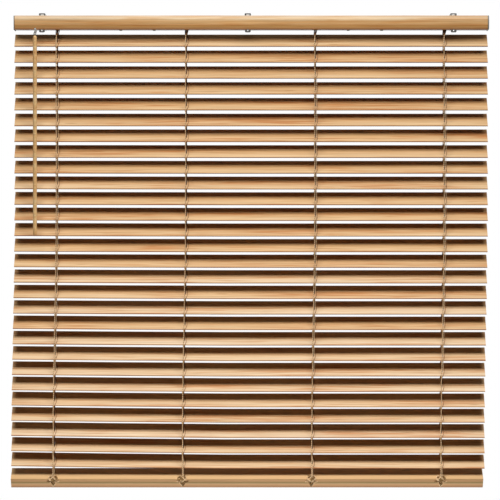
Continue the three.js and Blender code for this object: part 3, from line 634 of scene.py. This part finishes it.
def laminatedRailMaterial():
    # Strips of bamboo glued in layers: each layer has its own tone and a dark glue line between, and the front darkens
    # towards its bottom edge as painted shade.
    material, shader = newMaterial("laminatedBambooRail", {"Roughness": 0.5, "IOR": 1.5, "Coat Weight": 0.02,
                                                           "Coat Roughness": 0.3, "Specular IOR Level": 0.12})
    place = addNode(material, "ShaderNodeTexCoord").outputs["Object"]
    turned = addNode(material, "ShaderNodeMapping", {"Rotation": (-rail["tilt"], 0, 0)}, {"Vector": place})
    pivot = Matrix.Rotation(-rail["tilt"], 3, "X") @ Vector((0, slat["axisY"], railLine))
    centred = addNode(material, "ShaderNodeVectorMath", {"operation": "SUBTRACT", 1: pivot},
                      {0: turned.outputs["Vector"]})
    depth = addNode(material, "ShaderNodeSeparateXYZ", links={"Vector": centred.outputs[0]}).outputs["Z"]
    layers = addNode(material, "ShaderNodeMapRange", {"From Min": -rail["thickness"], "From Max": 0.0},
                     {"Value": depth})
    tone = addNode(material, "ShaderNodeValToRGB", {"stops": rail["layers"]},
                   {"Fac": layers.outputs["Result"]}).outputs["Color"]
    grain = addNode(material, "ShaderNodeMapping", {"Scale": [1 / size for size in rail["fibres"]]},
                    {"Vector": centred.outputs[0]})
    fibres = addNode(material, "ShaderNodeTexNoise", {"Scale": 1, "Detail": 3, "Roughness": 0.6},
                     {"Vector": grain.outputs["Vector"]})
    fibreTone = addNode(material, "ShaderNodeMapRange",
                        {"From Min": 0.35, "From Max": 0.7, "To Min": 1.03, "To Max": 0.82},
                        {"Value": fibres.outputs["Fac"]})
    grained = addNode(material, "ShaderNodeVectorMath", {"operation": "SCALE"},
                      {0: tone, "Scale": fibreTone.outputs["Result"]})
    connect(material, grained.outputs[0], shader, "Base Color")
    bump = addNode(material, "ShaderNodeBump", {"Strength": 0.5, "Distance": 0.05 * mm},
                   {"Height": fibres.outputs["Fac"]})
    connect(material, bump.outputs["Normal"], shader, "Normal")
    return material


bambooRail = laminatedRailMaterial()


def makeRail():
    blank = addBlock("bottom_rail_bamboo", (middleX - rail["length"] / 2, -rail["width"] / 2, -rail["thickness"]),
                     (middleX + rail["length"] / 2, rail["width"] / 2, 0))
    pickEdges(blank, lambda e: abs(e.verts[0].co.x - e.verts[1].co.x) > 0.1)
    bpy.ops.mesh.bevel(offset=rail["edgeRound"], segments=5)
    endEdit()
    applyModifier(blank, "BEVEL", width=rail["endRound"], segments=2, limit_method="ANGLE",
                  angle_limit=math.radians(50))
    cutOut(blank, atLadders(addRod("holeRod", rail["hole"] / 2, 80 * mm, (slat["cordOffset"], 0, 0), sides=24)))
    smooth(blank, 30)
    turnAndPlace(blank, rail["tilt"], slat["axisY"], railLine, leanAt(railLine))
    dress(blank, bambooRail)
    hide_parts("bottom_rail")
    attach(blank, "bottom_rail")


knot = {
    # The strings are tied over the rail's front edge. Each strand has its radius and its corners: across,
    # up from the edge, and off the wood, in millimetres.
    "strands": [
        (1.2, [(-0.6, 8.6, 1.4), (-1.2, 6.4, 1.5), (-4.0, 4.4, 1.6), (-8.4, 2.6, 1.5), (-7.6, -1.0, 1.9),
               (-1.0, -2.8, 3.2), (4.8, -4.8, 2.0), (8.8, -5.0, 1.3), (12.0, -3.6, 1.2)]),
        (1.2, [(0.8, 8.6, 1.4), (2.2, 6.2, 1.5), (6.2, 3.8, 1.6), (8.0, 0.6, 1.8), (3.8, -1.4, 3.0), (-2.2, -2.8, 2.4),
               (-6.6, -4.6, 1.5), (-9.6, -4.0, 1.3), (-12.6, -4.8, 1.2)]),
        (1.2, [(-6.4, 5.4, 2.4), (-2.4, 3.6, 3.4), (2.6, 0.8, 3.8), (6.6, -2.4, 2.8)]),
        (1.2, [(6.4, 5.6, 2.4), (1.6, 4.2, 3.0), (-3.4, 0.8, 3.2), (-6.6, -2.4, 2.6)]),
        (1.3, [(-3.4, -1.0, 4.0), (0.2, -3.6, 4.6), (3.8, -1.4, 4.0)]),
        (1.2, [(-6.0, -4.4, 2.2), (-4.4, -7.8, 2.0), (-2.0, -11.6, 1.6), (-0.4, -14.6, 1.3)]),
        (1.2, [(6.0, -4.4, 2.2), (4.4, -7.8, 2.0), (2.0, -11.6, 1.6), (0.4, -14.6, 1.3)]),
    ],
    "shaded": [  # the turns that lie between the others, in the darker braid: painted shade
        (1.5, [(-7.6, 3.4, 1.1), (0.0, 1.6, 2.0), (7.4, 2.6, 1.1)]),
        (1.5, [(-6.2, -3.0, 1.3), (0.0, -0.8, 2.2), (6.2, -3.0, 1.3)]),
        (1.5, [(-4.4, -5.4, 1.3), (-1.2, -9.0, 1.3), (1.4, -7.4, 1.3), (4.2, -5.2, 1.3)]),
        (1.4, [(-2.8, 5.6, 1.2), (-0.4, 2.4, 2.6), (-1.6, -2.0, 3.6), (0.6, -6.4, 2.2), (-0.4, -11.6, 1.3)]),
    ],
    "clear": 0.4,  # a strand's least height off the wood, in millimetres
    "pressed": 0.5,  # the pull leaves this share of each corner's own height
    "corner": 4,  # a strand rounds the rail's edge over this height
}


def makeKnots():
    corner = Matrix.Rotation(rail["tilt"], 3, "X") @ Vector((0, -rail["width"] / 2, 0))
    above = Vector((0, math.cos(rail["tilt"]), math.sin(rail["tilt"])))  # along the top face, from the edge
    below = Vector((0, above.z, -above.y))  # down the front face
    tied = {"strands": [], "shaded": []}
    for x in ladders:
        edge = Vector((x + leanAt(railLine), slat["axisY"] + corner.y, railLine + corner.z))
        for layer, cords in tied.items():
            for radius, path in knot[layer]:
                points = []
                for across, up, off in path:
                    face, normal = (above, -below) if up > 0 else (below, -above)
                    # near the edge the strand rounds it, half way between the two faces' normals
                    share = min(1.0, abs(up) / knot["corner"])
                    outward = (normal * share + Vector((0, -0.92, 0.1)) * (1 - share)).normalized()
                    points.append(edge + Vector((across * mm, 0, 0)) + face * (abs(up) * mm / abs(face.z))
                                  + outward * (knot["clear"] + knot["pressed"] * off) * mm)
                cords.append(drawnCord("knotStrand", points, radius * mm, 5, 2))
    # every third strand takes the darker braid as well
    for number, strand in enumerate(tied["strands"]):
        dress(strand, darkerKnotBraid if number % 3 == 1 else ladderBraid)
    for strand in tied["shaded"]:
        dress(strand, darkerKnotBraid)
    knots = joined(tied["strands"] + tied["shaded"], "rail_knots")
    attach(knots, "bottom_rail")


makeRail()
makeKnots()
print("bottom rail done")


fascia = {
    # (share of the height from the bottom, how far the front stands out from the back), in millimetres
    "ridges": [(0.0, 3.0), (0.03, 3.3), (0.43, 6.5), (0.78, 6.9), (0.97, 3.6), (1.0, 3.0)],
    "easing": 0.16,  # share of the height over which each ridge is rounded
    "steps": 48,
    "edgeRound": 0.8 * mm,
    "notch": 4.8 * mm,  # where the worm's stem comes through behind the lower edge
    "stemSlope": math.radians(-30),
}


def fasciaFront(share):
    ridges = fascia["ridges"]
    total = 0.0
    for sample in range(9):
        at = min(1.0, max(0.0, share + fascia["easing"] * (sample / 8 - 0.5)))
        for (a, depthA), (b, depthB) in zip(ridges, ridges[1:]):
            if a <= at <= b:
                total += depthA + (depthB - depthA) * (at - a) / (b - a)
                break
    return total / 9 * mm


def makeFascia():
    low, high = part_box("fascia")
    # the front face is cut into strips, and each cut is drawn out to the fascia's curve
    front = high.y - fascia["ridges"][0][1] * mm
    piece = addBlock("fascia_bamboo", (low.x, front, low.z), high)
    pickEdges(piece, lambda e: max(v.co.y for v in e.verts) < front + 0.1 * mm
              and abs(e.verts[0].co.z - e.verts[1].co.z) > 1 * mm)
    bpy.ops.mesh.subdivide(number_cuts=fascia["steps"] - 1)
    for vertex in bmesh.from_edit_mesh(piece.data).verts:
        if vertex.co.y < front + 0.1 * mm:
            vertex.co.y = high.y - fasciaFront((vertex.co.z - low.z) / (high.z - low.z))
    bmesh.update_edit_mesh(piece.data)
    endEdit()
    applyModifier(piece, "BEVEL", width=fascia["edgeRound"], segments=3, limit_method="ANGLE",
                  angle_limit=math.radians(40))
    stem = addRod("stemCutter", fascia["notch"] / 2, 60 * mm, (0, 0, 0), sides=32)
    stem.data.transform(Matrix.Translation(pivots["link_turn"]) @ Matrix.Rotation(fascia["stemSlope"], 4, "X"))
    cutOut(piece, stem)
    smooth(piece, 30)
    dress(piece, bambooFascia)
    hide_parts("fascia")
    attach(piece, "headrail")


makeFascia()
for side in ("left", "right"):
    refined(f"end_cap_{side}", f"end_cap_moulded_{side}", 0.5 * mm, greyPlastic, segments=3)
    refined(f"spring_motor_{side}", f"spring_motor_case_{side}", 0.6 * mm, greyPlastic)
refined("headrail_channel", "headrail_channel_steel", 0.18 * mm, zincSteel, segments=1)
refined("tilter_housing", "tilter_housing_moulded", 0.25 * mm, acetal)
refined("tilt_rod", "tilt_rod_and_drums", 0.2 * mm, zincSteel)
refined("worm_wheel", "worm_wheel_moulded", 0.1 * mm, acetal, segments=1)
refined("worm_shaft", "worm_shaft_moulded", 0, acetal)
refined("wand_eye", "wand_screw_eye", 0, nickelWire)


link = {
    "strap": 1.4 * mm,  # radius of each of its two limbs
    "limb": 1.3 * mm,  # from its middle to a limb's
    # each limb's corners: share of the limb's place, right, forwards, and height past the link's top or foot
    "upper": [(0.7, 1.5 * mm, 0, 2.5 * mm), (1.0, 1.3 * mm, 0.4 * mm, -1.0 * mm)],
    "lower": [(1.0, -0.2 * mm, 0.4 * mm, 1.2 * mm), (0.6, -0.5 * mm, 0, -1.0 * mm)],
}


def makeLink():
    # a moulded strap that holds the worm's stem above and the wand's eye below
    low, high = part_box("wand_link")
    x, y = (low.x + high.x) / 2, (low.y + high.y) / 2
    straps = []
    for side in (-link["limb"], link["limb"]):
        upper, lower = ([(x + side * share + right, y - forwards, z + past)
                         for share, right, forwards, past in link[end]]
                        for end, z in (("upper", high.z), ("lower", low.z)))
        waist = (x + side + 0.5 * mm, y - 0.6 * mm, (low.z + high.z) / 2)
        straps.append(drawnCord("strap", upper + [waist] + lower, link["strap"], 6, 3))
    piece = dress(joined(straps, "wand_link_clear"), smokyLink)
    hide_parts("wand_link")
    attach(piece, "link")


makeLink()


bracket = {
    "edge": 0.3 * mm,
    "rim": 0.25 * mm,  # the eyelet's rounded lip
    "highlightHalfWidth": 5.2 * mm,  # the tongue and the inside of the leg take bright steel between these heights: a painted highlight
    "highlightFrom": -24 * mm,
    "highlightTo": -1.21 * mm,
    # radius and length of the eyelet and of the ring behind it, and their places off the lever's front and foot
    "backing": (3.2 * mm, 0.9 * mm, 0.75 * mm, 3.0 * mm),
    "eyelet": (1.2 * mm, 0.6 * mm, -0.1 * mm, 3.7 * mm),
}


def makeBrackets():
    for side in ("left", "middle", "right"):
        strap = refined(f"bracket_{side}", f"bracket_strap_{side}", bracket["edge"], darkEnamel)
        low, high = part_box(f"bracket_{side}")
        middle = (low.x + high.x) / 2
        # the tongue and the leg's inside take the bright steel: a painted highlight
        strap.data.materials.append(brightZincAndHighlight)
        for face in strap.data.polygons:
            spread = max(abs(strap.data.vertices[v].co.x - middle) for v in face.vertices)
            highlightFace = spread < bracket["highlightHalfWidth"] and bracket["highlightFrom"] < face.center.z < bracket["highlightTo"]
            if highlightFace and abs(face.normal.z) < 0.9:
                face.material_index = 1
        refined(f"bracket_lever_{side}", f"bracket_lever_tab_{side}", bracket["edge"], darkEnamel)
        low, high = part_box(f"bracket_lever_{side}")
        middle = (low.x + high.x) / 2
        backing, eyelet = (addRod(name, radius, length, (middle, low.y + back, low.z + up), "Y", 24)
                           for name, (radius, length, back, up) in (("eyeletBacking", bracket["backing"]),
                                                                    ("eyelet", bracket["eyelet"])))
        dress(backing, darkEnamel)
        applyModifier(eyelet, "BEVEL", width=bracket["rim"], segments=3, limit_method="ANGLE")
        dress(eyelet, brightZincAndHighlight)
        rivet = joined([backing, eyelet], f"lever_eyelet_{side}")
        smooth(rivet, 40)
        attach(rivet, f"lever_{side}")


makeBrackets()
print("headrail and hardware done")


wand = {
    # the turner's profile: radius and height from the top, in millimetres
    "profile": [(0.0, 0.6), (1.2, 0.5), (2.2, 0.0), (3.1, -1.2), (3.7, -3.2), (3.95, -6.5), (4.05, -30), (3.95, -200),
                (4.05, -380), (4.05, -394), (3.7, -396.4), (2.8, -397.8), (1.4, -398), (0.0, -398)],
    "drawnRadius": 3.8,  # the profile was drawn for a wand of this radius and length
    "drawnLength": 398,
    "sides": 32,
}


def makeWand():
    low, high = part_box("wand")
    x, y = (low.x + high.x) / 2, (low.y + high.y) / 2
    across = (high.x - low.x) / 2 / wand["drawnRadius"]
    along = (high.z - low.z) / wand["drawnLength"]
    rings = [(radius * across, height * along) for radius, height in wand["profile"]]
    # the first ring is drawn in to the tip, and then drawn down ring by ring to the foot
    radius, height = rings[1]
    bpy.ops.mesh.primitive_circle_add(vertices=wand["sides"], radius=radius, location=(0, 0, height))
    piece = bpy.context.object
    piece.name = "wand_turned"
    bpy.ops.object.transform_apply(location=True, rotation=True, scale=True)
    for path in (rings[:1], rings[2:]):
        pickEdges(piece, lambda e: all(abs(v.co.z - rings[1][1]) < 0.001 * mm for v in e.verts))
        radius, height = rings[1]
        for nextRadius, nextHeight in path:
            bpy.ops.mesh.extrude_region_move(TRANSFORM_OT_translate={"value": (0, 0, nextHeight - height)})
            bpy.ops.transform.resize(value=(nextRadius / radius, nextRadius / radius, 1), center_override=(0, 0, 0))
            radius, height = nextRadius, nextHeight
        endEdit()
    startEdit(piece, "FACE")
    bpy.ops.mesh.select_all(action="SELECT")
    bpy.ops.mesh.remove_doubles(threshold=0.00001)
    bpy.ops.mesh.normals_make_consistent(inside=False)
    endEdit()
    smooth(piece, 40)
    piece.data.transform(Matrix.Translation((x, y, high.z)))
    dress(piece, turnedWand)
    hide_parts("wand")
    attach(piece, "wand")


makeWand()
print("wand done")


stage = {
    "cameraDistance": 5.0,
    "sensor": 36,
    "focusFront": 23.3 * mm,  # the fascia's front, which the view's width is given for
    "cameraX": 4.4 * mm,
    "cameraZ": -472.9 * mm,
    "viewWidth": 997.9 * mm,  # seen at the front of the headrail
    "keyFront": 0.95,
    "keyHeight": 0.90,
    "keyAim": -0.35,
    "keySize": (2.6, 0.70),
    "keyPower": 12.8,
    "lowPlace": (0, -0.62, -1.66),  # a low panel that fills the front of the bottom rail
    "lowSize": (1.3, 0.12),
    "lowPower": 0.7,
    "lowSpread": math.radians(36),
    "skyLight": 0.008,
    "floorSize": (2.0, 0.9),
    "floorPlace": (0, 0.1, -1.45),
}


def makeStage():
    bpy.ops.mesh.primitive_plane_add(size=1, location=stage["floorPlace"])
    floor = bpy.context.object
    floor.name = "floor"
    floor.scale = (*stage["floorSize"], 1)
    bpy.ops.object.transform_apply(location=True, rotation=True, scale=True)
    paint, _ = newMaterial("paleFloor", {"Base Color": linearColour("#F2F1EF"), "Roughness": 0.9})
    floor.data.materials.append(paint)

    world = bpy.data.worlds.new("studio")
    bpy.context.scene.world = world
    world.use_nodes = True
    background = world.node_tree.nodes["Background"]
    background.inputs["Color"].default_value = (1, 1, 1, 1)
    # white where it is looked at or mirrored, and nearly dark as a light
    rays = addNode(world, "ShaderNodeLightPath").outputs
    seen = addNode(world, "ShaderNodeMath", {"operation": "ADD"},
                   {0: rays["Is Camera Ray"], 1: rays["Is Glossy Ray"]})
    seen = addNode(world, "ShaderNodeMath", {"operation": "ADD", "use_clamp": True},
                   {0: seen.outputs[0], 1: rays["Is Transmission Ray"]})
    strength = addNode(world, "ShaderNodeMapRange", {"To Min": stage["skyLight"], "To Max": 1.0},
                       {"Value": seen.outputs[0]})
    connect(world, strength.outputs["Result"], background, "Strength")


def addPanel(name, place, target, size, power, spread=math.pi):
    light = bpy.data.lights.new(name, "AREA")
    light.shape = "RECTANGLE"
    light.size, light.size_y = size
    light.energy = power
    light.spread = spread
    light.use_nodes = True
    falloff = addNode(light, "ShaderNodeLightFalloff", {"Strength": 1.0})  # even from the blind's top to its foot
    connect(light, falloff.outputs["Constant"], light.node_tree.nodes["Emission"], "Strength")
    lamp = bpy.data.objects.new(name, light)
    bpy.context.scene.collection.objects.link(lamp)
    lamp.location = place
    lamp.rotation_euler = (Vector(target) - Vector(place)).to_track_quat("-Z", "Y").to_euler()


def makeCamera():
    camera = bpy.data.cameras.new("camera")
    camera.sensor_width = stage["sensor"]
    camera.lens = stage["sensor"] * (stage["cameraDistance"] - stage["focusFront"]) / stage["viewWidth"]
    camera.clip_end = 50
    viewer = bpy.data.objects.new("camera", camera)
    bpy.context.scene.collection.objects.link(viewer)
    viewer.location = (stage["cameraX"], -stage["cameraDistance"], stage["cameraZ"])
    viewer.rotation_euler = (math.pi / 2, 0, 0)
    bpy.context.scene.camera = viewer


makeStage()
addPanel("keyLight", (middleX, -stage["keyFront"], stage["keyHeight"]), (middleX, 0, stage["keyAim"]), stage["keySize"],
         stage["keyPower"])
addPanel("lowFill", stage["lowPlace"], (middleX, slat["axisY"], railLine), stage["lowSize"], stage["lowPower"],
         stage["lowSpread"])
makeCamera()
bpy.context.scene.view_settings.view_transform = "Standard"
print("stage done")

bpy.context.view_layer.update()
